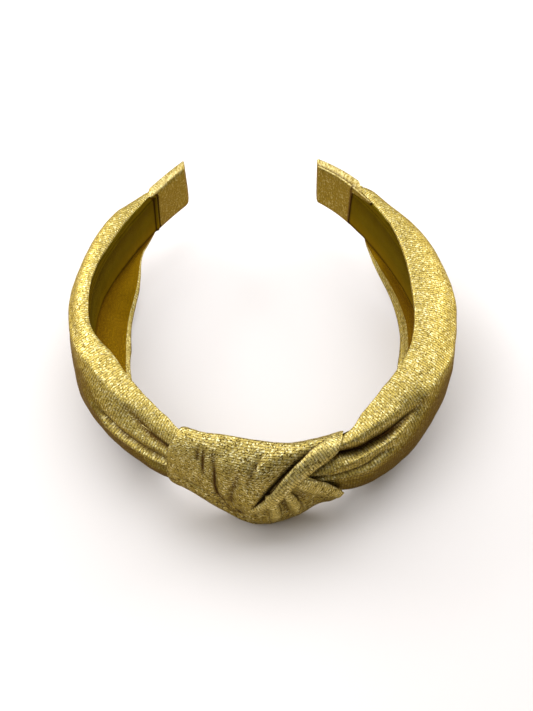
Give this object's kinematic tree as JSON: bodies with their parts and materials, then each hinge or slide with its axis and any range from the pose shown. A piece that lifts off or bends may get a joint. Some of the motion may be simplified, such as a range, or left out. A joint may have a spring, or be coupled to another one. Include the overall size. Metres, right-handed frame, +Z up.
{
  "type": "top knot headband",
  "caption": "Wide open-ended headband of gathered metallic knit sleeves over a stiff band, with a wrapped knot at the front and plain covered end tabs.",
  "frame": {"origin": "centre of the bounding box in plan, at the height of the table it lies on", "axes": "+Z up from the table, across the cloth's width; -Y towards the knot and +Y towards the open ends; +X towards the right arm seen from the knot's side"},
  "size_m": [0.1522, 0.1626, 0.04],
  "materials": {
    "band_cloth": "gold metallic knit",
    "lining_cloth": "smooth dull gold",
    "sleeve_left_knit": "gold metallic knit",
    "sleeve_right_knit": "gold metallic knit",
    "knot_knit": "gold metallic knit"
  },
  "bodies": {
    "root": {"band": "band_cloth", "lining": "lining_cloth", "sleeve_left": "sleeve_left_knit", "sleeve_right": "sleeve_right_knit", "knot": "knot_knit"}
  },
  "joints": []
}
